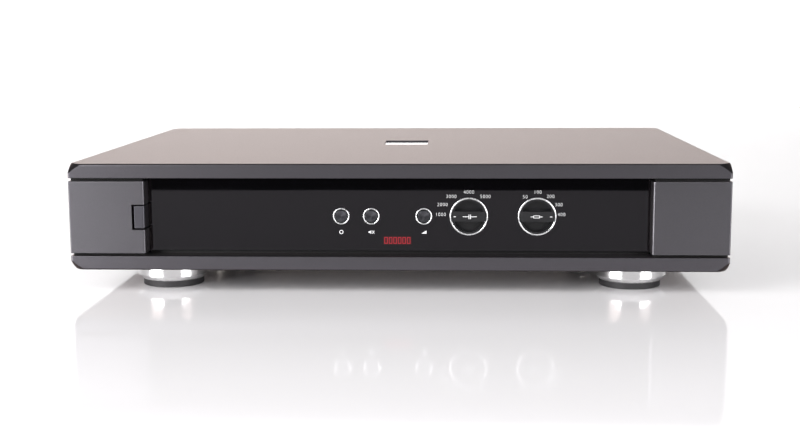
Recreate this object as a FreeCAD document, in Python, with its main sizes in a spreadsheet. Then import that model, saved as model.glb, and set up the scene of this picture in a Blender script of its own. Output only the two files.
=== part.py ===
import FreeCAD, Part
import os
import re
import Sketcher
from FreeCAD import Vector, Rotation, Placement

# Full-width turntable phono preamplifier: two thick plates clamped over two
# front corner blocks and two side panels, a recessed gloss fascia with three
# push buttons and two recessed rotary controls, a power button let into the
# inner edge of the left block, four turned feet and the working parts inside.
#
# Frame: +X to the right seen from the front, -Y towards the user, +Z up.
# Origin: middle of the footprint, on the surface the feet stand on.

doc = FreeCAD.newDocument("PhonoPreamp")
sheet = doc.addObject("Spreadsheet::Sheet", "Dims")

# ---------------------------------------------------------------- dimensions
CELLS = [
    # case
    ("case_w", 433.0), ("case_d", 316.0), ("case_top", 87.3),
    ("plate_b0", 16.6), ("plate_b1", 26.1), ("block_z0", 27.7),
    ("block_z1", 75.8), ("plate_t0", 77.7), ("edge_round", 1.4),
    ("facet_rad", 13.0), ("facet_low", 18.385), ("facet_high", 7.0),
    ("rim_x", 8.5), ("rim_y", 18.0), ("floor_top", 20.6), ("roof_low", 81.7),
    ("block_in", 166.0), ("block_deep", 30.0), ("block_round", 1.5), ("side_thick", 4.0),
    ("gasket_set", 5.0), ("gasket_side", 0.7),
    # badge recess in the lid
    ("badge_w", 33.4), ("badge_l", 36.0), ("badge_y", -13.0),
    ("badge_deep", 1.7), ("badge_plate_t", 0.8),
    # fascia
    ("fascia_y", -147.0), ("fascia_thick", 3.0), ("fascia_z0", 28.4),
    ("fascia_z1", 77.5), ("backing_thick", 2.0), ("control_z", 51.5),
    # push buttons
    ("mono_x", -37.0), ("mute_x", -17.1), ("gain_x", 17.7),
    ("bezel_rad", 5.45), ("bezel_bore", 4.65), ("bezel_barrel", 5.05),
    ("bezel_proud", 1.3), ("cap_rad", 3.9), ("cap_front", -148.0),
    # rotary controls
    ("cap_x", 47.35), ("load_x", 92.15), ("dial_rad", 12.55),
    ("dial_bore", 11.55), ("dial_barrel", 12.0), ("dial_proud", 1.5),
    ("knob_rad", 11.3), ("knob_front", -149.2), ("grip_h", 7.0),
    ("scoop_deep", 6.2), ("shaft_rad", 3.0), ("bush_bore", 3.04),
    # power button
    ("power_z0", 44.5), ("power_z1", 59.5), ("power_x0", -173.0),
    # feet
    ("foot_x", 158.0), ("foot_y", 113.0), ("foot_rad", 24.2),
    ("pad_rad", 20.8), ("pad_h", 4.0), ("foot_cham", 3.5),
    # posts
    ("post_x", 200.0), ("post_front", -118.0), ("post_rear", 130.0),
    ("post_rad", 5.0),
    # rear panel and connectors
    ("rear_y", 144.0), ("rear_thick", 2.5), ("jack_z", 50.0),
    ("in_left", 150.0), ("in_right", 124.0), ("out_left", 66.0),
    ("out_right", 40.0), ("gnd_x", 182.0), ("jack_rad", 4.15),
    ("inlet_x", -150.0), ("inlet_z", 52.0),
    # boards
    ("board_y", -126.0), ("board_t", 1.6), ("main_z", 28.6),
    ("main_x", -95.0), ("main_y", -70.0), ("main_w", 290.0), ("main_l", 195.0),
]
for i, (alias, value) in enumerate(CELLS):
    cell = "A%d" % (i + 1)
    sheet.set(cell, str(value))
    sheet.setAlias(cell, alias)
doc.recompute()
NAMES = set(a for a, v in CELLS)


def ex(text):
    """Turn a formula on cell names into a document expression."""
    return re.sub(r"[a-z_][a-z_0-9]*",
                  lambda m: "Dims." + m.group(0) if m.group(0) in NAMES else m.group(0),
                  str(text))


def bind(obj, prop, formula):
    obj.setExpression(prop, ex(formula))


def place(obj, x, y, z):
    bind(obj, "Placement.Base.x", x)
    bind(obj, "Placement.Base.y", y)
    bind(obj, "Placement.Base.z", z)


def box(name, x0, x1, y0, y1, z0, z1):
    o = doc.addObject("Part::Box", name)
    bind(o, "Length", "(%s) - (%s)" % (x1, x0))
    bind(o, "Width", "(%s) - (%s)" % (y1, y0))
    bind(o, "Height", "(%s) - (%s)" % (z1, z0))
    place(o, x0, y0, z0)
    return o


def cyl(name, rad, x, y, z, length, along="Z"):
    o = doc.addObject("Part::Cylinder", name)
    bind(o, "Radius", rad)
    bind(o, "Height", length)
    if along == "Y":
        o.Placement = Placement(Vector(0, 0, 0), Rotation(Vector(1, 0, 0), -90))
    elif along == "X":
        o.Placement = Placement(Vector(0, 0, 0), Rotation(Vector(0, 1, 0), 90))
    place(o, x, y, z)
    return o


def cone(name, r1, r2, x, y, z, length, along="Z"):
    o = doc.addObject("Part::Cone", name)
    bind(o, "Radius1", r1)
    bind(o, "Radius2", r2)
    bind(o, "Height", length)
    if along == "Y":
        o.Placement = Placement(Vector(0, 0, 0), Rotation(Vector(1, 0, 0), -90))
    place(o, x, y, z)
    return o


def cut(name, base, *tools):
    if len(tools) > 1:
        t = doc.addObject("Part::MultiFuse", name + "_tools")
        t.Shapes = list(tools)
    else:
        t = tools[0]
    o = doc.addObject("Part::Cut", name)
    o.Base = base
    o.Tool = t
    return o


def fuse(name, *parts):
    o = doc.addObject("Part::MultiFuse", name)
    o.Shapes = list(parts)
    return o


def group(name, parts):
    o = doc.addObject("Part::Compound", name)
    o.Links = list(parts)
    return o


def rounded(name, base, radius, test):
    """Round the edges of base for which test(edge) holds."""
    doc.recompute()
    picks = []
    for i, e in enumerate(base.Shape.Edges):
        if test(e):
            picks.append((i + 1, radius, radius))
    o = doc.addObject("Part::Fillet", name)
    o.Base = base
    o.Edges = picks
    return o


def pad_body(name, x0, y0, wide, deep, z0, high):
    """A plate: rectangle sketched on the ground plane and padded upwards."""
    body = doc.addObject("PartDesign::Body", name)
    sk = rect_sketch(body, name + "_outline", x0, y0, wide, deep, "0")
    pad = body.newObject("PartDesign::Pad", name + "_pad")
    pad.Profile = sk
    bind(pad, "Length", high)
    place(body, "0", "0", z0)
    body.Tip = pad
    doc.recompute()
    return body


def rect_sketch(body, name, x0, y0, wide, deep, z):
    sk = body.newObject("Sketcher::SketchObject", name)
    plane = [f for f in body.Origin.OriginFeatures if f.Role == "XY_Plane"][0]
    sk.AttachmentSupport = [(plane, "")]
    sk.MapMode = "FlatFace"
    bind(sk, "AttachmentOffset.Base.z", z)
    pts = [Vector(0, 0, 0), Vector(10, 0, 0), Vector(10, 10, 0), Vector(0, 10, 0)]
    for k in range(4):
        sk.addGeometry(Part.LineSegment(pts[k], pts[(k + 1) % 4]), False)
    for k in range(4):
        sk.addConstraint(Sketcher.Constraint("Coincident", k, 2, (k + 1) % 4, 1))
    sk.addConstraint(Sketcher.Constraint("Horizontal", 0))
    sk.addConstraint(Sketcher.Constraint("Horizontal", 2))
    sk.addConstraint(Sketcher.Constraint("Vertical", 1))
    sk.addConstraint(Sketcher.Constraint("Vertical", 3))
    c = sk.addConstraint(Sketcher.Constraint("DistanceX", 0, 1, 0, 2, 10.0))
    sk.renameConstraint(c, "wide")
    c = sk.addConstraint(Sketcher.Constraint("DistanceY", 1, 1, 1, 2, 10.0))
    sk.renameConstraint(c, "deep")
    c = sk.addConstraint(Sketcher.Constraint("DistanceX", -1, 1, 0, 1, 1.0))
    sk.renameConstraint(c, "left")
    c = sk.addConstraint(Sketcher.Constraint("DistanceY", -1, 1, 0, 1, 1.0))
    sk.renameConstraint(c, "near")
    sk.setExpression("Constraints.wide", ex(wide))
    sk.setExpression("Constraints.deep", ex(deep))
    sk.setExpression("Constraints.left", ex(x0))
    sk.setExpression("Constraints.near", ex(y0))
    return sk


def pocket(body, name, x0, y0, wide, deep, z, depth, upward):
    """Cut a rectangular pocket into a body from height z."""
    before = body.Shape.Volume
    sk = rect_sketch(body, name + "_sketch", x0, y0, wide, deep, z)
    p = body.newObject("PartDesign::Pocket", name)
    p.Profile = sk
    bind(p, "Length", depth)
    p.Reversed = bool(upward)
    body.Tip = p
    doc.recompute()
    if not body.Shape.Volume < before - 1.0:
        raise RuntimeError("pocket %s removed nothing" % name)
    return p


def fillet_body(body, name, radius, test):
    tip = body.Tip
    picks = ["Edge%d" % (i + 1) for i, e in enumerate(tip.Shape.Edges) if test(e)]
    f = body.newObject("PartDesign::Fillet", name)
    f.Base = (tip, picks)
    bind(f, "Radius", radius)
    body.Tip = f
    doc.recompute()
    return f


def mid(e):
    return e.valueAt((e.FirstParameter + e.LastParameter) / 2.0)


def corner_cutters(name, z, flip):
    """Four wedge tools that leave a tapering round facet on each corner."""
    tools = []
    for i, (sx, sy) in enumerate(((-1, -1), (1, -1), (1, 1), (-1, 1))):
        cx = "%d * (case_w / 2 - facet_rad)" % sx
        cy = "%d * (case_d / 2 - facet_rad)" % sy
        xa = "-case_w / 2 - 1" if sx < 0 else "case_w / 2 - facet_rad"
        xb = "-case_w / 2 + facet_rad" if sx < 0 else "case_w / 2 + 1"
        ya = "-case_d / 2 - 1" if sy < 0 else "case_d / 2 - facet_rad"
        yb = "-case_d / 2 + facet_rad" if sy < 0 else "case_d / 2 + 1"
        if flip:
            b = box("%s_b%d" % (name, i), xa, xb, ya, yb, z, "(%s) + facet_high" % z)
            c = cone("%s_c%d" % (name, i), "facet_rad", "facet_low", cx, cy, z, "facet_high")
        else:
            b = box("%s_b%d" % (name, i), xa, xb, ya, yb, "(%s) - facet_high" % z, z)
            c = cone("%s_c%d" % (name, i), "facet_low", "facet_rad", cx, cy,
                     "(%s) - facet_high" % z, "facet_high")
        tools.append(cut("%s_w%d" % (name, i), b, c))
    return tools


NODES = []


def node(obj, name):
    obj.Label = name
    NODES.append(obj)
    return obj


# --------------------------------------------------------------- top plate
lid = pad_body("lid_body", "-case_w / 2", "-case_d / 2", "case_w", "case_d",
               "plate_t0", "case_top - plate_t0")
fillet_body(lid, "lid_corners", "edge_round",
            lambda e: abs(e.BoundBox.ZLength) > 5)
fillet_body(lid, "lid_rim", "edge_round",
            lambda e: e.BoundBox.ZLength < 0.01 and e.BoundBox.ZMin > 5)
fillet_body(lid, "lid_under", "0.5",
            lambda e: e.BoundBox.ZLength < 0.01 and e.BoundBox.ZMax < 0.01)
pocket(lid, "lid_hollow", "-case_w / 2 + rim_x", "-case_d / 2 + rim_y",
       "case_w - 2 * rim_x", "case_d - 2 * rim_y", "0", "roof_low - plate_t0", True)
pocket(lid, "lid_badge_pocket", "-badge_w / 2", "badge_y", "badge_w", "badge_l",
       "case_top - plate_t0", "badge_deep", False)
node(cut("top_plate", lid, *corner_cutters("lid_facet", "case_top", False)), "top_plate")

# polished plain inset plate in the lid's shallow recess
node(box("badge_plate", "-badge_w / 2 + 0.05", "badge_w / 2 - 0.05", "badge_y + 0.05",
         "badge_y + badge_l - 0.05", "case_top - badge_deep",
         "case_top - badge_deep + badge_plate_t"), "badge_plate")

# ------------------------------------------------------------ bottom plate
base = pad_body("base_body", "-case_w / 2", "-case_d / 2", "case_w", "case_d",
                "plate_b0", "plate_b1 - plate_b0")
fillet_body(base, "base_corners", "edge_round",
            lambda e: abs(e.BoundBox.ZLength) > 5)
fillet_body(base, "base_rim", "edge_round",
            lambda e: e.BoundBox.ZLength < 0.01 and e.BoundBox.ZMax < 0.01)
fillet_body(base, "base_over", "0.5",
            lambda e: e.BoundBox.ZLength < 0.01 and e.BoundBox.ZMin > 5)
pocket(base, "base_hollow", "-case_w / 2 + rim_x", "-case_d / 2 + rim_y",
       "case_w - 2 * rim_x", "case_d - 2 * rim_y", "plate_b1 - plate_b0",
       "plate_b1 - floor_top", False)
FEET = [("front_left", "-foot_x", "-foot_y"), ("front_right", "foot_x", "-foot_y"),
        ("rear_left", "-foot_x", "foot_y"), ("rear_right", "foot_x", "foot_y")]
POSTS = [("-post_x", "post_front"), ("post_x", "post_front"),
         ("-post_x", "post_rear"), ("post_x", "post_rear")]
base_tools = corner_cutters("base_facet", "plate_b0", True)
for i, (n, x, y) in enumerate(FEET):
    base_tools.append(cyl("base_foot_hole%d" % i, "2", x, y, "plate_b0 - 1", "12"))
for i, (x, y) in enumerate(POSTS):
    base_tools.append(cyl("base_post_hole%d" % i, "2.2", x, y, "plate_b0 - 1", "12"))
    base_tools.append(cyl("base_post_sink%d" % i, "4.1", x, y, "plate_b0 - 1", "3.6"))
base_tools.append(cyl("base_bolt_hole", "3", "-150", "60", "18.1", "4"))
# row of ventilation slots under the supply section
for i in range(7):
    xs = "%g" % (-70 + 22 * i)
    base_tools.append(box("base_vent%d" % i, xs, xs + " + 3", "70", "110", "plate_b0 - 1",
                          "floor_top + 1"))
node(cut("bottom_plate", base, *base_tools), "bottom_plate")

# ---------------------------------------------- corner blocks, side panels
rb = pad_body("right_block_body", "block_in", "-case_d / 2", "case_w / 2 - block_in",
              "block_deep", "block_z0", "block_z1 - block_z0")
fillet_body(rb, "right_block_inner_upright", "block_round",
            lambda e: e.BoundBox.ZLength > 5 and mid(e).y < -150 and mid(e).x < 170)
fillet_body(rb, "right_block_outer_upright", "0.9",
            lambda e: e.BoundBox.ZLength > 5 and mid(e).y < -157.9 and mid(e).x > 210)
fillet_body(rb, "right_block_ends", "0.5",
            lambda e: e.BoundBox.ZLength < 0.01 and mid(e).y < -157.0)
node(rb, "right_block")

lb = pad_body("left_block_body", "-case_w / 2", "-case_d / 2", "case_w / 2 - block_in",
              "block_deep", "block_z0", "block_z1 - block_z0")
fillet_body(lb, "left_block_inner_upright", "block_round",
            lambda e: e.BoundBox.ZLength > 5 and mid(e).y < -150 and mid(e).x > -170)
fillet_body(lb, "left_block_outer_upright", "0.9",
            lambda e: e.BoundBox.ZLength > 5 and mid(e).y < -157.9 and mid(e).x < -210)
fillet_body(lb, "left_block_ends", "0.5",
            lambda e: e.BoundBox.ZLength < 0.01 and mid(e).y < -157.0)
node(cut("left_block", lb,
         box("left_block_notch", "power_x0 - 1.6", "-block_in + 1", "-case_d / 2 - 1",
             "-case_d / 2 + block_deep + 1", "power_z0 - 1", "power_z1 + 0.9")), "left_block")

for side, x0 in (("left", "-case_w / 2"), ("right", "case_w / 2 - side_thick")):
    sp = pad_body(side + "_side_body", x0, "-case_d / 2 + block_deep", "side_thick",
                  "case_d - block_deep", "block_z0", "block_z1 - block_z0")
    outer = -1 if side == "left" else 1
    fillet_body(sp, side + "_side_edges", "0.5",
                lambda e, o=outer: e.BoundBox.YLength > 50 and mid(e).x * o > 216.0)
    fillet_body(sp, side + "_side_rear", "0.9",
                lambda e, o=outer: e.BoundBox.ZLength > 20 and mid(e).x * o > 216.0
                and mid(e).y > 100)
    node(sp, side + "_side_panel")

# thin dark strips that space the plates from the blocks and side panels
sides = []
for label, z0, z1 in (("lower_gasket", "plate_b1", "block_z0"),
                      ("upper_gasket", "block_z1", "plate_t0")):
    for s, sg in (("l", -1), ("r", 1)):
        if sg < 0:
            b1 = box(label + s + "1", "-case_w / 2 + gasket_side", "-block_in - 2",
                     "-case_d / 2 + gasket_set", "-case_d / 2 + block_deep", z0, z1)
            b2 = box(label + s + "2", "-case_w / 2 + gasket_side", "-case_w / 2 + side_thick",
                     "-case_d / 2 + block_deep - 1", "case_d / 2 - gasket_set", z0, z1)
        else:
            b1 = box(label + s + "1", "block_in + 2", "case_w / 2 - gasket_side",
                     "-case_d / 2 + gasket_set", "-case_d / 2 + block_deep", z0, z1)
            b2 = box(label + s + "2", "case_w / 2 - side_thick", "case_w / 2 - gasket_side",
                     "-case_d / 2 + block_deep - 1", "case_d / 2 - gasket_set", z0, z1)
        sides.append(fuse(label + s, b1, b2))
node(group("plate_gaskets", sides), "plate_gaskets")

# ---------------------------------------------------------------- fascia
fp = box("fascia_blank", "-block_in + 0.1", "block_in - 0.1", "fascia_y",
         "fascia_y + fascia_thick", "fascia_z0", "fascia_z1")
holes = []
for n in ("mono_x", "mute_x", "gain_x"):
    holes.append(cyl("fascia_hole_" + n, "bezel_barrel + 0.05", n, "fascia_y - 1", "control_z", "8", "Y"))
for n in ("cap_x", "load_x"):
    holes.append(cyl("fascia_hole_" + n, "dial_barrel + 0.05", n, "fascia_y - 1", "control_z", "8", "Y"))
holes.append(box("fascia_window", "-9.25", "9.45", "fascia_y - 1", "fascia_y + 7", "32.25", "38.25"))
node(cut("fascia_panel", fp, *holes), "fascia_panel")

bk = fuse("backing_blank",
          box("backing_web", "-block_in + 0.1", "block_in - 0.1", "fascia_y + fascia_thick",
              "fascia_y + fascia_thick + backing_thick", "plate_b1", "plate_t0"),
          box("backing_left", "-block_in + 0.1", "-block_in + 2", "fascia_y + fascia_thick",
              "-130", "plate_b1 + 2", "plate_t0 - 2"),
          box("backing_right", "block_in - 2", "block_in - 0.1", "fascia_y + fascia_thick",
              "-130", "plate_b1 + 2", "plate_t0 - 2"))
holes = []
for n in ("mono_x", "mute_x", "gain_x"):
    holes.append(cyl("backing_hole_" + n, "bezel_barrel + 0.05", n, "fascia_y - 1", "control_z", "8", "Y"))
for n in ("cap_x", "load_x"):
    holes.append(cyl("backing_hole_" + n, "dial_barrel + 0.05", n, "fascia_y - 1", "control_z", "8", "Y"))
holes.append(box("backing_window", "-9.25", "9.45", "fascia_y - 1", "fascia_y + 7", "32.25", "38.25"))
node(cut("fascia_backing", bk, *holes), "fascia_backing")

# red indicator window and the lamp board behind it
node(box("indicator_lens", "-9.2", "9.4", "fascia_y", "-143", "32.3", "38.2"), "indicator_lens")
node(fuse("lamp_board", box("lamp_pcb", "-14", "14", "-141.9", "-140.4", "29", "41.5"),
          cyl("lamp_a", "1.5", "-6", "-142.9", "35.2", "1.2", "Y"),
          cyl("lamp_b", "1.5", "0.1", "-142.9", "35.2", "1.2", "Y"),
          cyl("lamp_c", "1.5", "6.2", "-142.9", "35.2", "1.2", "Y")), "lamp_board")

# ----------------------------------------------------------- push buttons
for n, x in (("mono", "mono_x"), ("mute", "mute_x"), ("gain", "gain_x")):
    ring = fuse(n + "_ring_blank",
                cyl(n + "_ring_flange", "bezel_rad", x, "fascia_y - bezel_proud", "control_z",
                    "bezel_proud", "Y"),
                cyl(n + "_ring_barrel", "bezel_barrel", x, "fascia_y - 0.2", "control_z", "5.2", "Y"))
    bored = cut(n + "_ring_bored", ring,
                cyl(n + "_ring_bore", "bezel_bore", x, "fascia_y - 3", "control_z", "12", "Y"))
    node(rounded(n + "_bezel", bored, 0.28,
                 lambda e: e.Curve.TypeId == "Part::GeomCircle" and mid(e).y < -148.2), n + "_bezel")
    blank = fuse(n + "_cap_blank",
                 cyl(n + "_cap", "cap_rad", x, "cap_front", "control_z", "6.5", "Y"),
                 cyl(n + "_stem", "1.5", x, "cap_front + 6", "control_z", "9", "Y"))
    dished = cut(n + "_cap_dished", blank,
                 cone(n + "_cap_dish", "3.3", "0.01", x, "cap_front - 0.001", "control_z", "0.35", "Y"))
    node(rounded(n + "_button", dished, 0.25,
                 lambda e: e.Curve.TypeId == "Part::GeomCircle" and mid(e).y < -147.9
                 and abs(e.Curve.Radius - 3.9) < 0.05), n + "_button")

sw = []
for n, x in (("mono", "mono_x"), ("mute", "mute_x"), ("gain", "gain_x")):
    sw.append(fuse(n + "_switch",
                   box(n + "_switch_box", x + " - 3", x + " + 3", "-130", "board_y",
                       "control_z - 3", "control_z + 3"),
                   cyl(n + "_plunger", "1.6", x, "-131.6", "control_z", "2", "Y")))
node(group("push_switches", sw), "push_switches")

# -------------------------------------------------------- rotary controls
for n, x, sgn in (("capacitance", "cap_x", -1), ("load", "load_x", 1)):
    ring = fuse(n + "_ring_blank",
                cyl(n + "_ring_flange", "dial_rad", x, "fascia_y - dial_proud", "control_z",
                    "dial_proud", "Y"),
                cyl(n + "_ring_barrel", "dial_barrel", x, "fascia_y - 0.2", "control_z", "5.2", "Y"))
    bored = cut(n + "_ring_bored", ring,
                cyl(n + "_ring_bore", "dial_bore", x, "fascia_y - 3", "control_z", "12", "Y"))
    node(rounded(n + "_bezel", bored, 0.35,
                 lambda e: e.Curve.TypeId == "Part::GeomCircle" and mid(e).y < -148.4), n + "_bezel")
    blank = fuse(n + "_knob_blank",
                 cyl(n + "_knob_drum", "knob_rad", x, "knob_front", "control_z", "9", "Y"),
                 cyl(n + "_knob_hub", "5", x, "knob_front + 8", "control_z", "4", "Y"))
    # two finger scoops above and below the grip bar, dished towards the rim
    scoops = []
    for k, s in (("up", 1), ("dn", -1)):
        z0 = "control_z + grip_h / 2" if s > 0 else "control_z - knob_rad - 1"
        z1 = "control_z + knob_rad + 1" if s > 0 else "control_z - grip_h / 2"
        bx = box("%s_scoop_%s_box" % (n, k), x + " - 12", x + " + 12", "knob_front - 1",
                 "knob_front + scoop_deep", z0, z1)
        dr = cyl("%s_scoop_%s_drum" % (n, k), "knob_rad - 0.9", x, "knob_front - 1", "control_z",
                 "12", "Y")
        both = doc.addObject("Part::MultiCommon", "%s_scoop_%s" % (n, k))
        both.Shapes = [bx, dr]
        scoops.append(both)
    # the low front of the rim beside the bar
    lip = cut(n + "_lip_cut",
              box(n + "_lip_box", x + " - 12", x + " + 12", "knob_front - 1", "knob_front + 0.9",
                  "control_z - 12", "control_z + 12"),
              box(n + "_lip_keep", x + " - 13", x + " + 13", "knob_front - 2", "knob_front + 2",
                  "control_z - grip_h / 2", "control_z + grip_h / 2"))
    bore = cyl(n + "_knob_bore", "shaft_rad", x, "-145", "control_z", "12", "Y")
    carved = cut(n + "_knob_carved", blank, scoops[0], scoops[1], lip, bore)
    node(rounded(n + "_knob", carved, 0.45,
                 lambda e: e.BoundBox.XLength > 12 and e.BoundBox.ZLength < 0.01
                 and mid(e).y < -149.0), n + "_knob")
    node(cyl(n + "_shaft", "shaft_rad", x, "-145", "control_z", "18.5", "Y"), n + "_shaft")
    node(cut(n + "_rotary_switch",
             fuse(n + "_rotary_blank",
                  cyl(n + "_rotary_drum", "11", x, "-132", "control_z", "6", "Y"),
                  cyl(n + "_rotary_bush", "4.5", x, "-136", "control_z", "5", "Y")),
             cyl(n + "_rotary_bore", "bush_bore", x, "-137", "control_z", "10.7", "Y")),
         n + "_rotary_switch")

# --------------------------------------------------------- control board
node(pad_body("control_board", "-60", "board_y", "175", "board_t", "28", "46"), "control_board")
st = []
for i, (x, z) in enumerate((("-55", "33"), ("-55", "69"), ("110", "33"), ("110", "69"))):
    st.append(cyl("panel_standoff%d" % i, "2.6", x, "-142", z, "16", "Y"))

# ----------------------------------------------------------- power button
pb = fuse("power_button_blank",
          box("power_cap", "power_x0", "-block_in - 0.15", "-case_d / 2 + 0.2", "-143",
              "power_z0", "power_z1"),
          box("power_stem", "-171.5", "-167.5", "-144", "-130.2", "50", "54"))
pb_round = rounded("power_button_inner", pb, 1.4,
                   lambda e: e.BoundBox.ZLength > 5 and mid(e).y < -157.7 and mid(e).x > -168)
node(rounded("power_button", pb_round, 0.4,
             lambda e: e.BoundBox.ZLength > 5 and mid(e).y < -157.7 and mid(e).x < -170
             or (e.BoundBox.ZLength < 0.01 and mid(e).y < -157.7)), "power_button")
node(fuse("power_switch",
          box("power_switch_box", "-180", "-160", "-126", "-100", "42", "62"),
          cyl("power_plunger", "1.6", "-169.5", "-127.4", "52", "2", "Y")), "power_switch")
node(fuse("power_switch_bracket",
          box("power_bracket_web", "-190", "-158", "-100", "-98.5", "floor_top", "66"),
          box("power_bracket_foot", "-190", "-158", "-100", "-86", "floor_top", "floor_top + 1.5")),
     "power_switch_bracket")

# ------------------------------------------------------------------- feet
for n, x, y in FEET:
    turned = fuse("foot_%s_blank" % n,
                  cyl("foot_%s_drum" % n, "foot_rad", x, y, "pad_h + foot_cham",
                      "plate_b0 - pad_h - foot_cham"),
                  cone("foot_%s_cone" % n, "foot_rad - foot_cham + 0.1", "foot_rad", x, y, "pad_h",
                       "foot_cham"))
    ring = cut("foot_%s_groove" % n,
               cyl("foot_%s_groove_out" % n, "foot_rad + 2", x, y, "13.7", "0.5"),
               cyl("foot_%s_groove_in" % n, "foot_rad - 0.4", x, y, "13", "2"))
    node(cut("foot_" + n, turned, ring,
             cyl("foot_%s_bore" % n, "2", x, y, "pad_h - 1", "20"),
             cyl("foot_%s_sink" % n, "5", x, y, "pad_h - 1", "6")), "foot_" + n)
pads, fscrews, lposts, lscrews = [], [], [], []
for n, x, y in FEET:
    ring = cut("pad_%s_bored" % n, cyl("pad_%s_disc" % n, "pad_rad", x, y, "0", "pad_h"),
               cyl("pad_%s_bore" % n, "12", x, y, "-1", "8"))
    pads.append(rounded("pad_%s" % n, ring, 0.6,
                        lambda e: e.Curve.TypeId == "Part::GeomCircle" and mid(e).z < 0.01
                        and abs(e.Curve.Radius - 20.8) < 0.1))
    fscrews.append(cut("foot_screw_%s" % n,
                       fuse("foot_screw_%s_blank" % n,
                            cyl("foot_screw_%s_head" % n, "3.9", x, y, "6", "3"),
                            cyl("foot_screw_%s_shank" % n, "2", x, y, "8", "12.4")),
                       cyl("foot_screw_%s_socket" % n, "1.6", x, y, "5", "2.8")))
node(group("foot_pads", pads), "foot_pads")
node(group("foot_screws", fscrews), "foot_screws")

# posts that tie the lid to the base, and their screws from below
for i, (x, y) in enumerate(POSTS):
    rod = cyl("lid_post%d_rod" % i, "post_rad", x, y, "floor_top", "roof_low - floor_top")
    bores = [cyl("lid_post%d_bore" % i, "2", x, y, "floor_top - 1", "14")]
    if i > 1:
        # the rear posts carry a block behind the rear panel that takes its screws
        rod = fuse("lid_post%d_blank" % i, rod,
                   box("lid_post%d_block" % i, x + " - 5", x + " + 5", "post_rear", "rear_y",
                       "36", "68"))
        for k, z in enumerate(("42", "62")):
            bores.append(cyl("lid_post%d_tap%d" % (i, k), "1.5", x, "rear_y - 7", z, "8", "Y"))
            lscrews.append(cut("rear_screw%d_%d" % (i, k),
                               fuse("rear_screw%d_%d_blank" % (i, k),
                                    cyl("rear_screw%d_%d_head" % (i, k), "2.8", x,
                                        "rear_y + rear_thick", z, "1.6", "Y"),
                                    cyl("rear_screw%d_%d_shank" % (i, k), "1.5", x, "rear_y - 6", z,
                                        "7 + rear_thick", "Y")),
                               cyl("rear_screw%d_%d_socket" % (i, k), "1", x,
                                   "rear_y + rear_thick + 0.6", z, "2", "Y")))
    lposts.append(cut("lid_post%d" % i, rod, *bores))
    lscrews.append(cut("lid_screw%d" % i,
                       fuse("lid_screw%d_blank" % i,
                            cyl("lid_screw%d_head" % i, "3.8", x, y, "16.8", "2.4"),
                            cyl("lid_screw%d_shank" % i, "2", x, y, "18.5", "14")),
                       cyl("lid_screw%d_socket" % i, "1.5", x, y, "16", "2.3")))
node(group("lid_posts", lposts), "lid_posts")
node(group("case_screws", lscrews), "case_screws")

# ------------------------------------------------------------- rear panel
JACKS = [("in_left", "in_left"), ("in_right", "in_right"),
         ("out_left", "out_left"), ("out_right", "out_right")]
rp = pad_body("rear_blank", "-case_w / 2 + side_thick", "rear_y", "case_w - 2 * side_thick",
              "rear_thick", "plate_b1", "plate_t0 - plate_b1")
tools = [box("rear_inlet_hole", "inlet_x - 13.6", "inlet_x + 13.6", "rear_y - 1", "rear_y + 5",
             "inlet_z - 10", "inlet_z + 10")]
for n, x in JACKS:
    tools.append(cyl("rear_hole_" + n, "4.6", x, "rear_y - 1", "jack_z", "5", "Y"))
tools.append(cyl("rear_hole_gnd", "3.1", "gnd_x", "rear_y - 1", "jack_z", "5", "Y"))
for i, (x, z) in enumerate((("-post_x", "42"), ("-post_x", "62"), ("post_x", "42"), ("post_x", "62"))):
    tools.append(cyl("rear_hole_screw%d" % i, "1.6", x, "rear_y - 1", z, "5", "Y"))
node(cut("rear_panel", rp, *tools), "rear_panel")

inl = fuse("inlet_blank",
           box("inlet_flange", "inlet_x - 15.4", "inlet_x + 15.4", "rear_y + rear_thick",
               "rear_y + rear_thick + 2", "inlet_z - 12", "inlet_z + 12"),
           box("inlet_body", "inlet_x - 13.5", "inlet_x + 13.5", "126", "rear_y + rear_thick + 1",
               "inlet_z - 9.9", "inlet_z + 9.9"))
inl2 = cut("inlet_hollowed", inl,
           box("inlet_cavity", "inlet_x - 12", "inlet_x + 12", "131", "rear_y + 8",
               "inlet_z - 8.2", "inlet_z + 8.2"))
PINS = [("-7", "-2"), ("7", "-2"), ("0", "2")]
pins, slots = [], []
for i, (dx, dz) in enumerate(PINS):
    px, pz = "inlet_x + (%s)" % dx, "inlet_z + (%s)" % dz
    pins.append(box("inlet_pin%d" % i, px + " - 1", px + " + 1", "120", "145.5", pz + " - 2",
                    pz + " + 2"))
    slots.append(box("inlet_slot%d" % i, px + " - 1", px + " + 1", "119", "146", pz + " - 2",
                     pz + " + 2"))
node(rounded("mains_inlet", cut("inlet_slotted", inl2, *slots), 0.8,
             lambda e: e.BoundBox.YLength > 1.5 and e.BoundBox.YLength < 2.5
             and abs(abs(mid(e).x + 150) - 15.4) < 0.1), "mains_inlet")
node(group("inlet_pins", pins), "inlet_pins")

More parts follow.
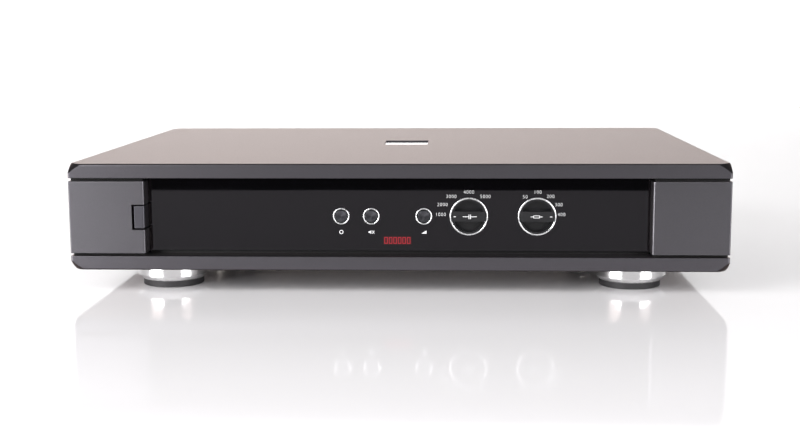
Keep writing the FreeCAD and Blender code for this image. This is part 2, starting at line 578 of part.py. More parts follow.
js = []
for label, keys in (("input", ("in_left", "in_right")), ("output", ("out_left", "out_right"))):
    for x in keys:
        blank = fuse("jack_%s_blank" % x,
                     cyl("jack_%s_flange" % x, "6.6", x, "rear_y + rear_thick", "jack_z", "1.6", "Y"),
                     cyl("jack_%s_sleeve" % x, "jack_rad", x, "rear_y + rear_thick + 1", "jack_z",
                         "10", "Y"),
                     cyl("jack_%s_thread" % x, "4.5", x, "137", "jack_z", "10", "Y"))
        js.append(cut("jack_" + x, blank,
                      cyl("jack_%s_bore" % x, "3.3", x, "136", "jack_z", "30", "Y")))
node(group("phono_jacks", js), "phono_jacks")
nuts = []
for n, x in JACKS:
    hexa = doc.addObject("Part::Prism", "jack_nut_%s_hex" % n)
    hexa.Polygon = 6
    bind(hexa, "Circumradius", "6.8")
    bind(hexa, "Height", "2.4")
    hexa.Placement = Placement(Vector(0, 0, 0), Rotation(Vector(1, 0, 0), -90))
    place(hexa, x, "rear_y - 2.4", "jack_z")
    nuts.append(cut("jack_nut_" + n, hexa,
                    cyl("jack_nut_%s_bore" % n, "4.5", x, "rear_y - 4", "jack_z", "6", "Y")))
node(group("jack_nuts", nuts), "jack_nuts")
for label, keys in (("jack_insulators_left", ("in_left", "out_left")),
                    ("jack_insulators_right", ("in_right", "out_right"))):
    ins = []
    for x in keys:
        ins.append(cut("insulator_" + x, cyl("insulator_%s_rod" % x, "3.3", x, "138", "jack_z", "18.8", "Y"),
                       cyl("insulator_%s_bore" % x, "1.55", x, "137", "jack_z", "30", "Y")))
    node(group(label, ins), label)

node(cut("ground_post",
         fuse("ground_post_blank",
              cyl("ground_stud", "1.97", "gnd_x", "138", "jack_z", "19.6", "Y"),
              cyl("ground_collar", "4.6", "gnd_x", "rear_y + rear_thick", "jack_z", "2", "Y"),
              cyl("ground_neck", "3", "gnd_x", "rear_y - 1", "jack_z", "4", "Y")),
         cyl("ground_end_cut", "0.6", "gnd_x", "157", "jack_z", "2", "Y")), "ground_post")
node(cut("ground_washer", cyl("ground_washer_disc", "4.2", "gnd_x", "149.3", "jack_z", "0.8", "Y"),
         cyl("ground_washer_bore", "2.03", "gnd_x", "149", "jack_z", "3", "Y")), "ground_washer")
knurl = cyl("ground_nut_drum", "5", "gnd_x", "150.15", "jack_z", "6.2", "Y")
flutes = [cyl("ground_nut_bore", "2.03", "gnd_x", "150", "jack_z", "9", "Y")]
import math
for i in range(18):
    a = math.radians(20 * i)
    flutes.append(cyl("ground_flute%d" % i, "0.42", "gnd_x + %g" % (5.1 * math.cos(a)), "151.2",
                      "jack_z + %g" % (5.1 * math.sin(a)), "4.2", "Y"))
node(cut("ground_nut", knurl, *flutes), "ground_nut")

# ---------------------------------------------------- main board and supply
mb = pad_body("main_board_blank", "main_x", "main_y", "main_w", "main_l", "main_z", "board_t")
STAND = [(-88, -62), (50, -62), (188, -62), (-88, 118), (50, 118), (188, 118)]
so, ss, mh = [], [], []
for i, (x, y) in enumerate(STAND):
    so.append(cut("standoff%d" % i, cyl("standoff%d_rod" % i, "3.2", str(x), str(y), "floor_top",
                                        "main_z - floor_top"),
                  cyl("standoff%d_bore" % i, "1.5", str(x), str(y), "floor_top + 1", "12")))
    ss.append(fuse("board_screw%d" % i,
                   cyl("board_screw%d_head" % i, "2.8", str(x), str(y), "main_z + board_t", "2"),
                   cyl("board_screw%d_shank" % i, "1.5", str(x), str(y), "main_z - 5",
                       "5 + board_t + 0.5")))
    mh.append(cyl("main_hole%d" % i, "1.6", str(x), str(y), "main_z - 1", "6"))
node(cut("main_board", mb, *mh), "main_board")
node(group("board_standoffs", so + st), "board_standoffs")
node(group("board_screws", ss), "board_screws")

torus = cut("transformer_bored", cyl("transformer_coil", "45", "-150", "60", "22.1", "36"),
            cyl("transformer_eye", "12", "-150", "60", "20", "60"))
node(rounded("transformer", torus, 7.0,
             lambda e: e.Curve.TypeId == "Part::GeomCircle"), "transformer")
node(cut("transformer_clamp",
         fuse("clamp_blank", cyl("clamp_disc", "26", "-150", "60", "58.1", "2"),
              cyl("clamp_pad", "40", "-150", "60", "floor_top", "1.5")),
         cyl("clamp_bore", "3", "-150", "60", "18", "60")), "transformer_clamp")
node(fuse("transformer_bolt", cyl("bolt_shank", "3", "-150", "60", "18.2", "45"),
          cyl("bolt_head", "5.5", "-150", "60", "60.1", "4")), "transformer_bolt")

caps = []
for i in range(4):
    c = cyl("smoothing_cap%d_can" % i, "11", str(-60 + 26 * i), "40", "main_z + board_t", "32")
    caps.append(rounded("smoothing_cap%d" % i, c, 1.2,
                        lambda e: e.Curve.TypeId == "Part::GeomCircle" and mid(e).z > 40))
node(group("smoothing_capacitors", caps), "smoothing_capacitors")
fins = [box("heatsink_web", "-70", "20", "84", "87", "main_z + board_t", "main_z + board_t + 34")]
for i in range(9):
    fins.append(box("heatsink_fin%d" % i, "%g" % (-70 + 11 * i), "%g" % (-68 + 11 * i), "86", "100",
                    "main_z + board_t", "main_z + board_t + 34"))
node(fuse("heatsink", *fins), "heatsink")
regs = []
for i in range(3):
    x = -60 + 30 * i
    regs.append(box("regulator%d" % i, "%g" % x, "%g" % (x + 10.2), "79.4", "84",
                    "main_z + board_t + 4", "main_z + board_t + 19.5"))
node(group("regulators", regs), "regulators")
node(cut("shield_can",
         box("shield_outer", "70", "180", "-50", "60", "main_z + board_t", "main_z + board_t + 24"),
         box("shield_inner", "70.8", "179.2", "-49.2", "59.2", "main_z + board_t - 1",
             "main_z + board_t + 23.2")), "shield_can")
node(fuse("ribbon_cable",
          box("ribbon_front", "20", "46", "board_y + board_t", "board_y + board_t + 8", "31", "37"),
          box("ribbon_run", "21", "45", "board_y + board_t + 7", "-62", "34.6", "35.4"),
          box("ribbon_rear", "20", "46", "-63", "-56", "main_z + board_t", "37")), "ribbon_cable")

# ------------------------------------------------------------------ output
doc.recompute()
for o in doc.Objects:
    for flag in o.State:
        if flag in ("Invalid", "Error"):
            raise RuntimeError("object %s is %s" % (o.Name, flag))
os.makedirs("parts", exist_ok=True)
seen = set()
for o in NODES:
    s = o.Shape
    if s.isNull() or not s.isValid():
        raise RuntimeError("bad shape in %s" % o.Label)
    if o.Label in seen:
        raise RuntimeError("name used twice: %s" % o.Label)
    seen.add(o.Label)
for o in NODES:
    o.Shape.exportStep("parts/%s.step" % o.Label)
    bb = o.Shape.BoundBox
    print("%-24s solids %2d vol %10.1f  X %.2f %.2f  Y %.2f %.2f  Z %.2f %.2f" % (
        o.Label, len(o.Shape.Solids), o.Shape.Volume, bb.XMin, bb.XMax, bb.YMin, bb.YMax,
        bb.ZMin, bb.ZMax))
print("nodes", len(NODES))
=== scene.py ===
import bpy
import bmesh
import math
from mathutils import Matrix, Vector


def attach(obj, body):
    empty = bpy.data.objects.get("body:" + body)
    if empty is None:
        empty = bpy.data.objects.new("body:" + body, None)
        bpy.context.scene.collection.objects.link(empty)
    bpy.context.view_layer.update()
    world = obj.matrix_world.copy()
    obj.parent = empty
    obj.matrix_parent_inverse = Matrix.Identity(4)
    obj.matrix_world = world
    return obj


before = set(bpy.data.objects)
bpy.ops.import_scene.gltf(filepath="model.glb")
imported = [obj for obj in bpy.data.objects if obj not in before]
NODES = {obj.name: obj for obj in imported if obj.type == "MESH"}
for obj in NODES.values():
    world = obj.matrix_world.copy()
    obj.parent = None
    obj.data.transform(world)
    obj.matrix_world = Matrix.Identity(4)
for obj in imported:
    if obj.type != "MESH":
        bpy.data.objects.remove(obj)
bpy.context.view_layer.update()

scene = bpy.context.scene
scene.view_settings.view_transform = "Standard"
scene.view_settings.look = "None"
scene.view_settings.exposure = 0.0
scene.view_settings.gamma = 1.0
MM = 0.001

# ------------------------------------------------------------------ camera
# Fitted to the photo's straight edges: 56.5 mm lens on a 36 mm wide sensor.
YAW, PITCH, ROLL = 0.0475, -0.1495, 0.0048
cyw, syw = math.cos(YAW), math.sin(YAW)
cp, sp = math.cos(PITCH), math.sin(PITCH)
cr, sr = math.cos(ROLL), math.sin(ROLL)
Rz = Matrix(((cyw, -syw, 0), (syw, cyw, 0), (0, 0, 1)))
Rx = Matrix(((1, 0, 0), (0, cp, -sp), (0, sp, cp)))
Ry = Matrix(((cr, 0, sr), (0, 1, 0), (-sr, 0, cr)))
R = Rz @ Rx @ Ry
right, fwd, up = R.col[0], R.col[1], R.col[2]
cam_data = bpy.data.cameras.new("camera")
cam = bpy.data.objects.new("camera", cam_data)
scene.collection.objects.link(cam)
cam_data.sensor_fit = "HORIZONTAL"
cam_data.sensor_width = 36.0
cam_data.lens = 1255.74 / 800.0 * 36.0
cam_data.clip_start = 0.01
cam_data.clip_end = 50.0
M = Matrix.Identity(4)
for i in range(3):
    M[i][0] = right[i]
    M[i][1] = up[i]
    M[i][2] = -fwd[i]
M[0][3], M[1][3], M[2][3] = 0.04091, -0.96773, 0.17036
cam.matrix_world = M
scene.camera = cam


# --------------------------------------------------------------- materials
def lin(c):
    """Display value 0-255 to linear light."""
    out = []
    for v in c:
        v = v / 255.0
        out.append(v / 12.92 if v <= 0.04045 else ((v + 0.055) / 1.055) ** 2.4)
    return out


def mat(name):
    m = bpy.data.materials.new(name)
    m.use_nodes = True
    nt = m.node_tree
    b = nt.nodes["Principled BSDF"]
    return m, nt, b


def coords(nt):
    t = nt.nodes.new("ShaderNodeTexCoord")
    return t.outputs["Object"]


def noise(nt, src, scale, detail=4.0, rough=0.5, stretch=None):
    if stretch:
        mp = nt.nodes.new("ShaderNodeMapping")
        mp.inputs["Scale"].default_value = stretch
        nt.links.new(src, mp.inputs["Vector"])
        src = mp.outputs["Vector"]
    n = nt.nodes.new("ShaderNodeTexNoise")
    n.inputs["Scale"].default_value = scale
    n.inputs["Detail"].default_value = detail
    n.inputs["Roughness"].default_value = rough
    nt.links.new(src, n.inputs["Vector"])
    return n.outputs["Fac"]


def ramp(nt, fac, stops):
    r = nt.nodes.new("ShaderNodeValToRGB")
    r.color_ramp.elements[0].position = stops[0][0]
    r.color_ramp.elements[0].color = tuple(stops[0][1]) + (1,)
    r.color_ramp.elements[1].position = stops[-1][0]
    r.color_ramp.elements[1].color = tuple(stops[-1][1]) + (1,)
    for p, c in stops[1:-1]:
        e = r.color_ramp.elements.new(p)
        e.color = tuple(c) + (1,)
    nt.links.new(fac, r.inputs["Fac"])
    return r.outputs["Color"]


def maprange(nt, fac, lo, hi, a, b):
    r = nt.nodes.new("ShaderNodeMapRange")
    r.inputs["From Min"].default_value = lo
    r.inputs["From Max"].default_value = hi
    r.inputs["To Min"].default_value = a
    r.inputs["To Max"].default_value = b
    nt.links.new(fac, r.inputs["Value"])
    return r.outputs["Result"]


def bump(nt, b, height, strength, dist):
    n = nt.nodes.new("ShaderNodeBump")
    n.inputs["Strength"].default_value = strength
    n.inputs["Distance"].default_value = dist
    nt.links.new(height, n.inputs["Height"])
    nt.links.new(n.outputs["Normal"], b.inputs["Normal"])
    return n


def anodised(name, col, rough, metallic=0.9, grain=0.2, edge=None, painted_fillet_shade=None):
    """Fine bead-blasted, anodised aluminium: an even, very fine grain."""
    m, nt, b = mat(name)
    c = coords(nt)
    grainy = noise(nt, c, 1800.0, 3.0, 0.6)
    b.inputs["Metallic"].default_value = metallic
    base = ramp(nt, grainy, [(0.3, [v * 0.96 for v in col]), (0.7, [min(1, v * 1.04) for v in col])])
    if painted_fillet_shade:
        # painted shade: the rounded rims and corner facets, picked out by their normals, are darkened in
        # colour and specular tint, standing for the shaded table they mirror
        t = nt.nodes.new("ShaderNodeTexCoord")
        sep = nt.nodes.new("ShaderNodeSeparateXYZ")
        nt.links.new(t.outputs["Normal"], sep.inputs["Vector"])
        up_abs = nt.nodes.new("ShaderNodeMath")
        up_abs.operation = "ABSOLUTE"
        nt.links.new(sep.outputs["Z"], up_abs.inputs[0])
        on = maprange(nt, up_abs.outputs[0], 0.20, 0.42, 0.0, 1.0)
        off = maprange(nt, up_abs.outputs[0], 0.90, 0.985, 1.0, 0.0)
        fillet_shade_mask = nt.nodes.new("ShaderNodeMath")
        fillet_shade_mask.operation = "MULTIPLY"
        nt.links.new(on, fillet_shade_mask.inputs[0])
        nt.links.new(off, fillet_shade_mask.inputs[1])
        shade = maprange(nt, fillet_shade_mask.outputs[0], 0.0, 1.0, 1.0, painted_fillet_shade)
        mul = nt.nodes.new("ShaderNodeVectorMath")
        mul.operation = "SCALE"
        nt.links.new(base, mul.inputs[0])
        nt.links.new(shade, mul.inputs["Scale"])
        base = mul.outputs["Vector"]
        tint = nt.nodes.new("ShaderNodeVectorMath")
        tint.operation = "SCALE"
        tint.inputs[0].default_value = tuple(edge)
        nt.links.new(shade, tint.inputs["Scale"])
        nt.links.new(tint.outputs["Vector"], b.inputs["Specular Tint"])
    nt.links.new(base, b.inputs["Base Color"])
    if edge and not painted_fillet_shade:
        b.inputs["Specular Tint"].default_value = tuple(edge) + (1,)
    r = maprange(nt, noise(nt, c, 700.0, 2.0), 0.3, 0.7, rough - 0.015, rough + 0.015)
    nt.links.new(r, b.inputs["Roughness"])
    bump(nt, b, noise(nt, c, 2600.0, 2.0, 0.7), grain, 0.00003)
    return m


def polished(name, col, rough=0.12, stretch=(1, 1, 1)):
    """Turned and polished metal with faint lathe lines."""
    m, nt, b = mat(name)
    c = coords(nt)
    b.inputs["Metallic"].default_value = 1.0
    base = ramp(nt, noise(nt, c, 60.0, 3.0), [(0.3, [v * 0.96 for v in col]), (0.7, col)])
    nt.links.new(base, b.inputs["Base Color"])
    r = maprange(nt, noise(nt, c, 900.0, 3.0, stretch=stretch), 0.3, 0.7, rough * 0.7, rough * 1.4)
    nt.links.new(r, b.inputs["Roughness"])
    bump(nt, b, noise(nt, c, 1600.0, 2.0, stretch=stretch), 0.12, 0.00002)
    return m


def moulded(name, col, rough=0.5, grain=0.3, scale=1500.0, spread=0.1):
    """Moulded plastic or rubber with a fine spark-eroded grain."""
    m, nt, b = mat(name)
    c = coords(nt)
    base = ramp(nt, noise(nt, c, 40.0, 4.0), [(0.3, [v * (1 - spread) for v in col]),
                                             (0.7, [min(1, v * (1 + spread)) for v in col])])
    nt.links.new(base, b.inputs["Base Color"])
    r = maprange(nt, noise(nt, c, 80.0, 3.0), 0.3, 0.7, rough - 0.05, rough + 0.05)
    nt.links.new(r, b.inputs["Roughness"])
    bump(nt, b, noise(nt, c, scale, 3.0), grain, 0.00004)
    return m


EDGE = (0.97, 0.84, 0.785)
# the case plates carry painted shade on their rounded rims
case_mat = anodised("case_anodised", [0.108, 0.103, 0.115], 0.30, edge=EDGE, painted_fillet_shade=0.48)
side_mat = anodised("side_anodised", [0.098, 0.094, 0.100], 0.36, edge=EDGE)
block_mat = anodised("block_anodised", [0.112, 0.108, 0.119], 0.32, edge=EDGE)
power_mat = anodised("power_anodised", [0.080, 0.078, 0.090], 0.33, edge=EDGE)
ring_mat = polished("bright_ring", [0.93, 0.93, 0.94], 0.30)
foot_mat = polished("foot_metal", [0.96, 0.955, 0.955], 0.15, (0.05, 0.05, 1.0))
badge_mat = polished("badge_metal", [0.93, 0.93, 0.92], 0.08, (1.0, 0.05, 1.0))
rubber_mat = moulded("rubber_black", [0.020, 0.019, 0.021], 0.60, 0.4, 900.0)
gasket_mat = moulded("gasket_black", [0.003, 0.003, 0.0035], 0.8, 0.3)
knob_mat = moulded("knob_black", [0.003, 0.003, 0.004], 0.40, 0.3, 1800.0)
plastic_mat = moulded("plastic_black", [0.02, 0.02, 0.021], 0.45, 0.3)
white_ins = moulded("insulator_white", [0.75, 0.75, 0.72], 0.35, 0.15)
red_ins = moulded("insulator_red", [0.5, 0.02, 0.02], 0.35, 0.15)
gold_mat = polished("gold_plate", [0.83, 0.60, 0.24], 0.14)
nickel_mat = polished("nickel_plate", [0.72, 0.70, 0.66], 0.18)
zinc_mat = polished("zinc_plate", [0.62, 0.63, 0.64], 0.28)
dark_steel = polished("black_oxide", [0.05, 0.05, 0.055], 0.35)
board_mat = moulded("circuit_board", [0.02, 0.11, 0.045], 0.35, 0.5, 400.0, 0.3)
wind_mat = moulded("winding_tape", [0.62, 0.45, 0.06], 0.3, 0.8, 500.0, 0.15)
sleeve_mat = moulded("capacitor_sleeve", [0.02, 0.03, 0.09], 0.3, 0.1)
rear_mat = anodised("rear_anodised", [0.03, 0.03, 0.032], 0.42, 0.7)
back_mat = anodised("backing_anodised", [0.012, 0.012, 0.013], 0.5, 0.6)


def gloss_panel():
    """Gloss black cast acrylic: a slow waviness bends what it mirrors."""
    m, nt, b = mat("fascia_gloss")
    c = coords(nt)
    base = ramp(nt, noise(nt, c, 6.0, 2.0), [(0.3, (0.0004, 0.0004, 0.0006)), (0.7, (0.0006, 0.0005, 0.0008))])
    nt.links.new(base, b.inputs["Base Color"])
    b.inputs["IOR"].default_value = 1.47
    b.inputs["Specular Tint"].default_value = (0.97, 0.93, 1.0, 1)
    r = maprange(nt, noise(nt, c, 20.0, 2.0), 0.3, 0.7, 0.015, 0.03)
    nt.links.new(r, b.inputs["Roughness"])
    bump(nt, b, noise(nt, c, 9.0, 1.0, 0.4, (1.0, 1.0, 0.5)), 1.0, 0.00012)
    return m


def spun(name, cx, cz, col):
    """Spun-finish button cap: fine concentric lines round its own axis."""
    m, nt, b = mat(name)
    c = coords(nt)
    mp = nt.nodes.new("ShaderNodeMapping")
    mp.inputs["Location"].default_value = (-cx, 0, -cz)
    nt.links.new(c, mp.inputs["Vector"])
    sep = nt.nodes.new("ShaderNodeSeparateXYZ")
    nt.links.new(mp.outputs["Vector"], sep.inputs["Vector"])
    # distance from the cap's axis
    xx = nt.nodes.new("ShaderNodeMath"); xx.operation = "MULTIPLY"
    nt.links.new(sep.outputs["X"], xx.inputs[0]); nt.links.new(sep.outputs["X"], xx.inputs[1])
    zz = nt.nodes.new("ShaderNodeMath"); zz.operation = "MULTIPLY"
    nt.links.new(sep.outputs["Z"], zz.inputs[0]); nt.links.new(sep.outputs["Z"], zz.inputs[1])
    sm = nt.nodes.new("ShaderNodeMath"); sm.operation = "ADD"
    nt.links.new(xx.outputs[0], sm.inputs[0]); nt.links.new(zz.outputs[0], sm.inputs[1])
    sq = nt.nodes.new("ShaderNodeMath"); sq.operation = "SQRT"
    nt.links.new(sm.outputs[0], sq.inputs[0])
    n = nt.nodes.new("ShaderNodeTexNoise")
    n.noise_dimensions = "1D"
    n.inputs["Scale"].default_value = 9000.0
    n.inputs["Detail"].default_value = 3.0
    nt.links.new(sq.outputs[0], n.inputs["W"])
    tan = nt.nodes.new("ShaderNodeCombineXYZ")
    neg = nt.nodes.new("ShaderNodeMath"); neg.operation = "MULTIPLY"
    neg.inputs[1].default_value = -1.0
    nt.links.new(sep.outputs["X"], neg.inputs[0])
    nt.links.new(sep.outputs["Z"], tan.inputs["X"])
    nt.links.new(neg.outputs[0], tan.inputs["Z"])
    nrm = nt.nodes.new("ShaderNodeVectorMath"); nrm.operation = "NORMALIZE"
    nt.links.new(tan.outputs["Vector"], nrm.inputs[0])
    nt.links.new(nrm.outputs["Vector"], b.inputs["Tangent"])
    base = ramp(nt, n.outputs["Fac"], [(0.3, [v * 0.8 for v in col]), (0.7, [v * 1.15 for v in col])])
    nt.links.new(base, b.inputs["Base Color"])
    b.inputs["Metallic"].default_value = 1.0
    b.inputs["Roughness"].default_value = 0.32
    b.inputs["Anisotropic"].default_value = 0.75
    bump(nt, b, n.outputs["Fac"], 0.25, 0.00003)
    return m


def indicator():
    """Smoked red window: a row of small cells, lit along their outlines."""
    m, nt, b = mat("indicator_red")
    c = coords(nt)
    sep = nt.nodes.new("ShaderNodeSeparateXYZ")
    nt.links.new(c, sep.inputs["Vector"])

    def math_node(op, a, v):
        n = nt.nodes.new("ShaderNodeMath")
        n.operation = op
        nt.links.new(a, n.inputs[0])
        if isinstance(v, float):
            n.inputs[1].default_value = v
        else:
            nt.links.new(v, n.inputs[1])
        return n.outputs[0]

    # distance from the window's middle line, and from the nearest cell's middle
    dz = math_node("ABSOLUTE", math_node("SUBTRACT", sep.outputs["Z"], 0.03525), 0.0)
    cell = 0.0030
    px = math_node("SUBTRACT", sep.outputs["X"], 0.0001 - 3.0 * cell)
    fr = math_node("FRACT", math_node("DIVIDE", px, cell), 0.0)
    dx = math_node("MULTIPLY", math_node("ABSOLUTE", math_node("SUBTRACT", fr, 0.5), 0.0), cell)
    inx = maprange(nt, dx, 0.00112, 0.00122, 1.0, 0.0)
    inz = maprange(nt, dz, 0.00215, 0.00230, 1.0, 0.0)
    cx = maprange(nt, dx, 0.00062, 0.00076, 1.0, 0.0)
    cz = maprange(nt, dz, 0.00160, 0.00180, 1.0, 0.0)
    box_out = math_node("MULTIPLY", inx, inz)
    box_in = math_node("MULTIPLY", cx, cz)
    ring = math_node("SUBTRACT", box_out, math_node("MULTIPLY", box_in, 0.90))
    col = ramp(nt, ring, [(0.0, (0.006, 0.0006, 0.0008)), (1.0, (0.42, 0.013, 0.026))])
    nt.links.new(col, b.inputs["Emission Color"])
    b.inputs["Emission Strength"].default_value = 1.0
    base = ramp(nt, noise(nt, c, 200.0, 2.0), [(0.3, (0.010, 0.0006, 0.001)), (0.7, (0.014, 0.0006, 0.001))])
    nt.links.new(base, b.inputs["Base Color"])
    b.inputs["Roughness"].default_value = 0.04
    return m


gloss_mat = gloss_panel()
ind_mat = indicator()
ASSIGN = {
    "top_plate": case_mat, "bottom_plate": case_mat, "right_block": block_mat,
    "left_block": block_mat, "left_side_panel": side_mat, "right_side_panel": side_mat,
    "plate_gaskets": gasket_mat, "fascia_panel": gloss_mat, "fascia_backing": back_mat,
    "indicator_lens": ind_mat, "lamp_board": board_mat, "badge_plate": badge_mat,
    "mono_bezel": ring_mat, "mute_bezel": ring_mat, "gain_bezel": ring_mat,
    "mono_button": spun("mono_cap", -0.0370, 0.0515, [0.075, 0.075, 0.083]),
    "mute_button": spun("mute_cap", -0.0171, 0.0515, [0.075, 0.075, 0.083]),
    "gain_button": spun("gain_cap", 0.0177, 0.0515, [0.075, 0.075, 0.083]),
    "push_switches": plastic_mat, "capacitance_bezel": ring_mat, "load_bezel": ring_mat,
    "capacitance_knob": knob_mat, "load_knob": knob_mat, "capacitance_shaft": zinc_mat,
    "load_shaft": zinc_mat, "capacitance_rotary_switch": plastic_mat,
    "load_rotary_switch": plastic_mat, "control_board": board_mat, "power_button": power_mat,
    "power_switch": plastic_mat, "power_switch_bracket": zinc_mat, "foot_pads": rubber_mat,
    "foot_screws": zinc_mat, "lid_posts": zinc_mat, "case_screws": dark_steel,
    "rear_panel": rear_mat, "mains_inlet": plastic_mat, "inlet_pins": nickel_mat,
    "phono_jacks": gold_mat, "jack_nuts": gold_mat, "jack_insulators_left": white_ins,
    "jack_insulators_right": red_ins, "ground_post": gold_mat, "ground_washer": gold_mat,
    "ground_nut": gold_mat, "main_board": board_mat, "board_standoffs": zinc_mat,
    "board_screws": zinc_mat, "transformer": wind_mat, "transformer_clamp": zinc_mat,
    "transformer_bolt": zinc_mat, "smoothing_capacitors": sleeve_mat, "heatsink": back_mat,
    "regulators": plastic_mat, "shield_can": zinc_mat, "ribbon_cable": white_ins,
    "foot_front_left": foot_mat, "foot_front_right": foot_mat, "foot_rear_left": foot_mat,
    "foot_rear_right": foot_mat,
}
for name, obj in NODES.items():
    m = ASSIGN[name]
    if not obj.data.materials:
        obj.data.materials.append(m)
    for i in range(len(obj.data.materials)):
        obj.data.materials[i] = m


# ------------------------------------------------------------ printed marks
def ink(name, col, rough=0.5, painted_glow=0.0):
    m, nt, b = mat(name)
    c = coords(nt)
    base = ramp(nt, noise(nt, c, 3000.0, 2.0), [(0.3, [v * 0.9 for v in col]), (0.7, col)])
    nt.links.new(base, b.inputs["Base Color"])
    b.inputs["Roughness"].default_value = rough
    # painted glow: the print emits a little light of its own colour, though it is no lamp, so it reads
    # brighter
    b.inputs["Emission Color"].default_value = tuple(col) + (1,)
    b.inputs["Emission Strength"].default_value = painted_glow
    return m


# the white print and the knob print both carry a painted glow
ink_mat = ink("print_white", (0.64, 0.64, 0.65), painted_glow=0.10)
ink_knob = ink("print_knob", (0.64, 0.64, 0.65), painted_glow=0.08)
MARK_Y = -0.14703


def text_mesh(name, body, size, x, y, z, material, squeeze=0.96):
    cu = bpy.data.curves.new(name, "FONT")
    cu.body = body
    cu.size = size
    cu.align_x = "CENTER"
    cu.align_y = "CENTER"
    cu.resolution_u = 4
    cu.extrude = 0.00001
    cu.offset = -0.00006
    cu.space_character = 1.16
    ob = bpy.data.objects.new(name + "_src", cu)
    scene.collection.objects.link(ob)
    bpy.context.view_layer.update()
    me = bpy.data.meshes.new_from_object(ob)
    bpy.data.objects.remove(ob)
    me.name = name
    # stand the lettering up on the panel, facing the front
    me.transform(Matrix.Translation((x, y, z)) @ Matrix.Rotation(math.radians(90), 4, "X")
                 @ Matrix.Diagonal((squeeze, 1, 1, 1)))
    new = bpy.data.objects.new(name, me)
    scene.collection.objects.link(new)
    me.materials.clear()
    me.materials.append(material)
    return new


def shape_mesh(name, polys, x, y, z, material, thick=0.00002):
    """Flat printed shapes: each polygon is a list of (x, z) in mm about a centre."""
    bm = bmesh.new()
    for pts in polys:
        vs = [bm.verts.new((x + px * MM, y, z + pz * MM)) for px, pz in pts]
        f = bm.faces.new(vs)
        r = bmesh.ops.extrude_face_region(bm, geom=[f])
        for v in r["geom"]:
            if isinstance(v, bmesh.types.BMVert):
                v.co.y += thick
    bmesh.ops.recalc_face_normals(bm, faces=bm.faces[:])
    me = bpy.data.meshes.new(name)
    bm.to_mesh(me)
    bm.free()
    me.materials.append(material)
    ob = bpy.data.objects.new(name, me)
    scene.collection.objects.link(ob)
    return ob


def arc_band(r, w, a0, a1, n=28, cx=0.0, cz=0.0):
    """Quads of a ring segment of mean radius r and width w, in mm."""
    quads = []
    for i in range(n):
        a = math.radians(a0 + (a1 - a0) * i / n)
        b = math.radians(a0 + (a1 - a0) * (i + 1) / n)
        ri, ro = r - w / 2, r + w / 2
        quads.append([(cx + ri * math.cos(a), cz + ri * math.sin(a)),
                      (cx + ro * math.cos(a), cz + ro * math.sin(a)),
                      (cx + ro * math.cos(b), cz + ro * math.sin(b)),
                      (cx + ri * math.cos(b), cz + ri * math.sin(b))])
    return quads


def bar(x0, x1, z0, z1):
    return [(x0, z0), (x1, z0), (x1, z1), (x0, z1)]


marks = []
CZ = 0.0515
KX, LX = 0.04735, 0.09215
for label, dx, dz in (("1000", -18.6, 1.1), ("2000", -17.4, 7.7), ("3000", -11.6, 13.1),
                      ("4000", 0.0, 16.0), ("5000", 10.8, 13.1)):
    marks.append((text_mesh("dial_left_" + label, label, 0.0033, KX + dx * MM, MARK_Y, CZ + dz * MM,
                            ink_mat), "case"))
for label, dx, dz in (("50", -7.9, 12.9), ("100", 0.3, 16.0), ("200", 8.7, 13.2),
                      ("300", 14.1, 7.7), ("400", 16.0, 1.2)):
    marks.append((text_mesh("dial_right_" + label, label, 0.0033, LX + dx * MM, MARK_Y, CZ + dz * MM,
                            ink_mat), "case"))
# pictograms under the push buttons
CAPZ = 0.0408
marks.append((shape_mesh("symbol_mono", arc_band(1.15, 0.42, 0, 360), -0.0371, MARK_Y, CAPZ, ink_mat), "case"))
speaker = [[(-1.9, -0.5), (-1.1, -0.5), (-1.1, 0.5), (-1.9, 0.5)],
           [(-1.05, -0.5), (-0.1, -1.2), (-0.1, 1.2), (-1.05, 0.5)],
           [(0.45, -0.85), (0.72, -1.1), (2.1, 0.85), (1.83, 1.1)],
           [(0.45, 0.85), (0.72, 1.1), (2.1, -0.85), (1.83, -1.1)]]
marks.append((shape_mesh("symbol_mute", speaker, -0.0171, MARK_Y, CAPZ, ink_mat), "case"))
wedge = [[(-1.7, -0.95), (1.7, -0.95), (1.7, 1.15)]]
marks.append((shape_mesh("symbol_gain", wedge, 0.0177, MARK_Y, CAPZ, ink_mat), "case"))
# the knobs: a pointer dash at the end of the bar and a component symbol
KY = -0.14923
cap_sym = [bar(-4.6, -0.75, -0.2, 0.2), bar(0.75, 4.6, -0.2, 0.2),
           bar(-0.75, -0.3, -1.5, 1.5), bar(0.3, 0.75, -1.5, 1.5)]
marks.append((shape_mesh("knob_symbol_left", cap_sym, KX + 0.0006, KY, CZ, ink_knob), "capacitance_knob"))
marks.append((shape_mesh("pointer_left", [bar(-10.0, -8.5, -0.22, 0.22)], KX, KY, CZ, ink_knob),
              "capacitance_knob"))
res_sym = [bar(-3.9, -2.1, -0.2, 0.2), bar(2.1, 3.9, -0.2, 0.2),
           bar(-2.1, 2.1, 0.55, 0.9), bar(-2.1, 2.1, -0.9, -0.55),
           bar(-2.1, -1.75, -0.55, 0.55), bar(1.75, 2.1, -0.55, 0.55)]
marks.append((shape_mesh("knob_symbol_right", res_sym, LX - 0.0004, KY, CZ, ink_knob), "load_knob"))
marks.append((shape_mesh("pointer_right", [bar(8.4, 9.9, -0.22, 0.22)], LX, KY, CZ, ink_knob), "load_knob"))
for ob, body in marks:
    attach(ob, body)


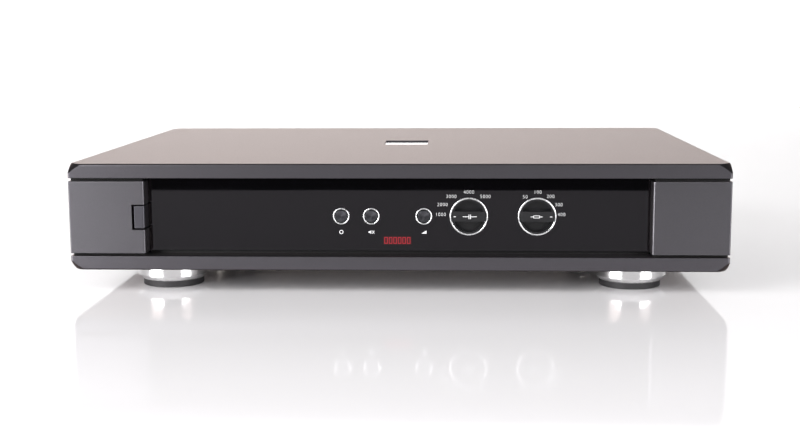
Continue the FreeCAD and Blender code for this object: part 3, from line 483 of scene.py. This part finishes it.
# -------------------------------------------------------------------- stage
def stage_mat(name, col, rough, emit=None, strength=(0.0, 0.0, 1.0), spec=0.5):
    m, nt, b = mat(name)
    c = coords(nt)
    base = ramp(nt, noise(nt, c, 1.5, 2.0), [(0.3, [v * 0.995 for v in col]), (0.7, col)])
    nt.links.new(base, b.inputs["Base Color"])
    b.inputs["Roughness"].default_value = rough
    b.inputs["Specular IOR Level"].default_value = spec
    if emit:
        # brighter low down and to the left, as a sweep lit from that side
        b.inputs["Emission Color"].default_value = tuple(emit) + (1,)
        sep = nt.nodes.new("ShaderNodeSeparateXYZ")
        nt.links.new(c, sep.inputs["Vector"])
        across = maprange(nt, sep.outputs["X"], -1.2, 0.9, strength[0], strength[1])
        rise = maprange(nt, sep.outputs["Z"], 0.30, 0.75, 1.0, strength[2])
        mul = nt.nodes.new("ShaderNodeMath")
        mul.operation = "MULTIPLY"
        nt.links.new(across, mul.inputs[0])
        nt.links.new(rise, mul.inputs[1])
        nt.links.new(mul.outputs[0], b.inputs["Emission Strength"])
    return m


def quad(name, pts, material):
    me = bpy.data.meshes.new(name)
    me.from_pydata(pts, [], [tuple(range(len(pts)))])
    me.materials.append(material)
    ob = bpy.data.objects.new(name, me)
    scene.collection.objects.link(ob)
    return ob


table_mat = stage_mat("table_white", (0.80, 0.785, 0.797), 0.065, spec=0.22)
quad("table", [(-3.5, -0.70, -0.00005), (3.5, -0.70, -0.00005), (3.5, 2.0, -0.00005),
               (-3.5, 2.0, -0.00005)], table_mat)
wall_mat = stage_mat("wall_white", (0.85, 0.85, 0.85), 0.8, (1.0, 0.975, 0.97), (0.78, 0.44, 0.35), 0.0)
quad("backdrop", [(-4, 2.0, -0.5), (4, 2.0, -0.5), (4, 2.0, 3.5), (-4, 2.0, 3.5)], wall_mat)

world = bpy.data.worlds.new("studio")
scene.world = world
world.use_nodes = True
world.node_tree.nodes["Background"].inputs["Color"].default_value = (0.98, 0.97, 1.0, 1)
world.node_tree.nodes["Background"].inputs["Strength"].default_value = 0.06


def area(name, loc, target, size, size_y, power, col=(1, 1, 1)):
    d = bpy.data.lights.new(name, "AREA")
    d.shape = "RECTANGLE"
    d.size = size
    d.size_y = size_y
    d.energy = power
    d.color = col
    o = bpy.data.objects.new(name, d)
    scene.collection.objects.link(o)
    o.location = loc
    v = Vector(target) - Vector(loc)
    o.rotation_euler = v.to_track_quat("-Z", "Y").to_euler()
    return o


area("softbox_left", (-1.38, -1.22, 0.60), (-0.08, 0, 0.05), 1.40, 1.2, 72.0)
area("softbox_right", (1.30, -1.20, 0.60), (0.08, 0, 0.05), 1.05, 1.2, 34.0)
area("front_fill", (0.0, -2.3, 1.6), (0, 0, 0.05), 2.2, 1.0, 10.0)
area("top_light", (0.0, 1.0, 2.1), (0, 0.4, 0.0), 2.4, 0.9, 5.0)
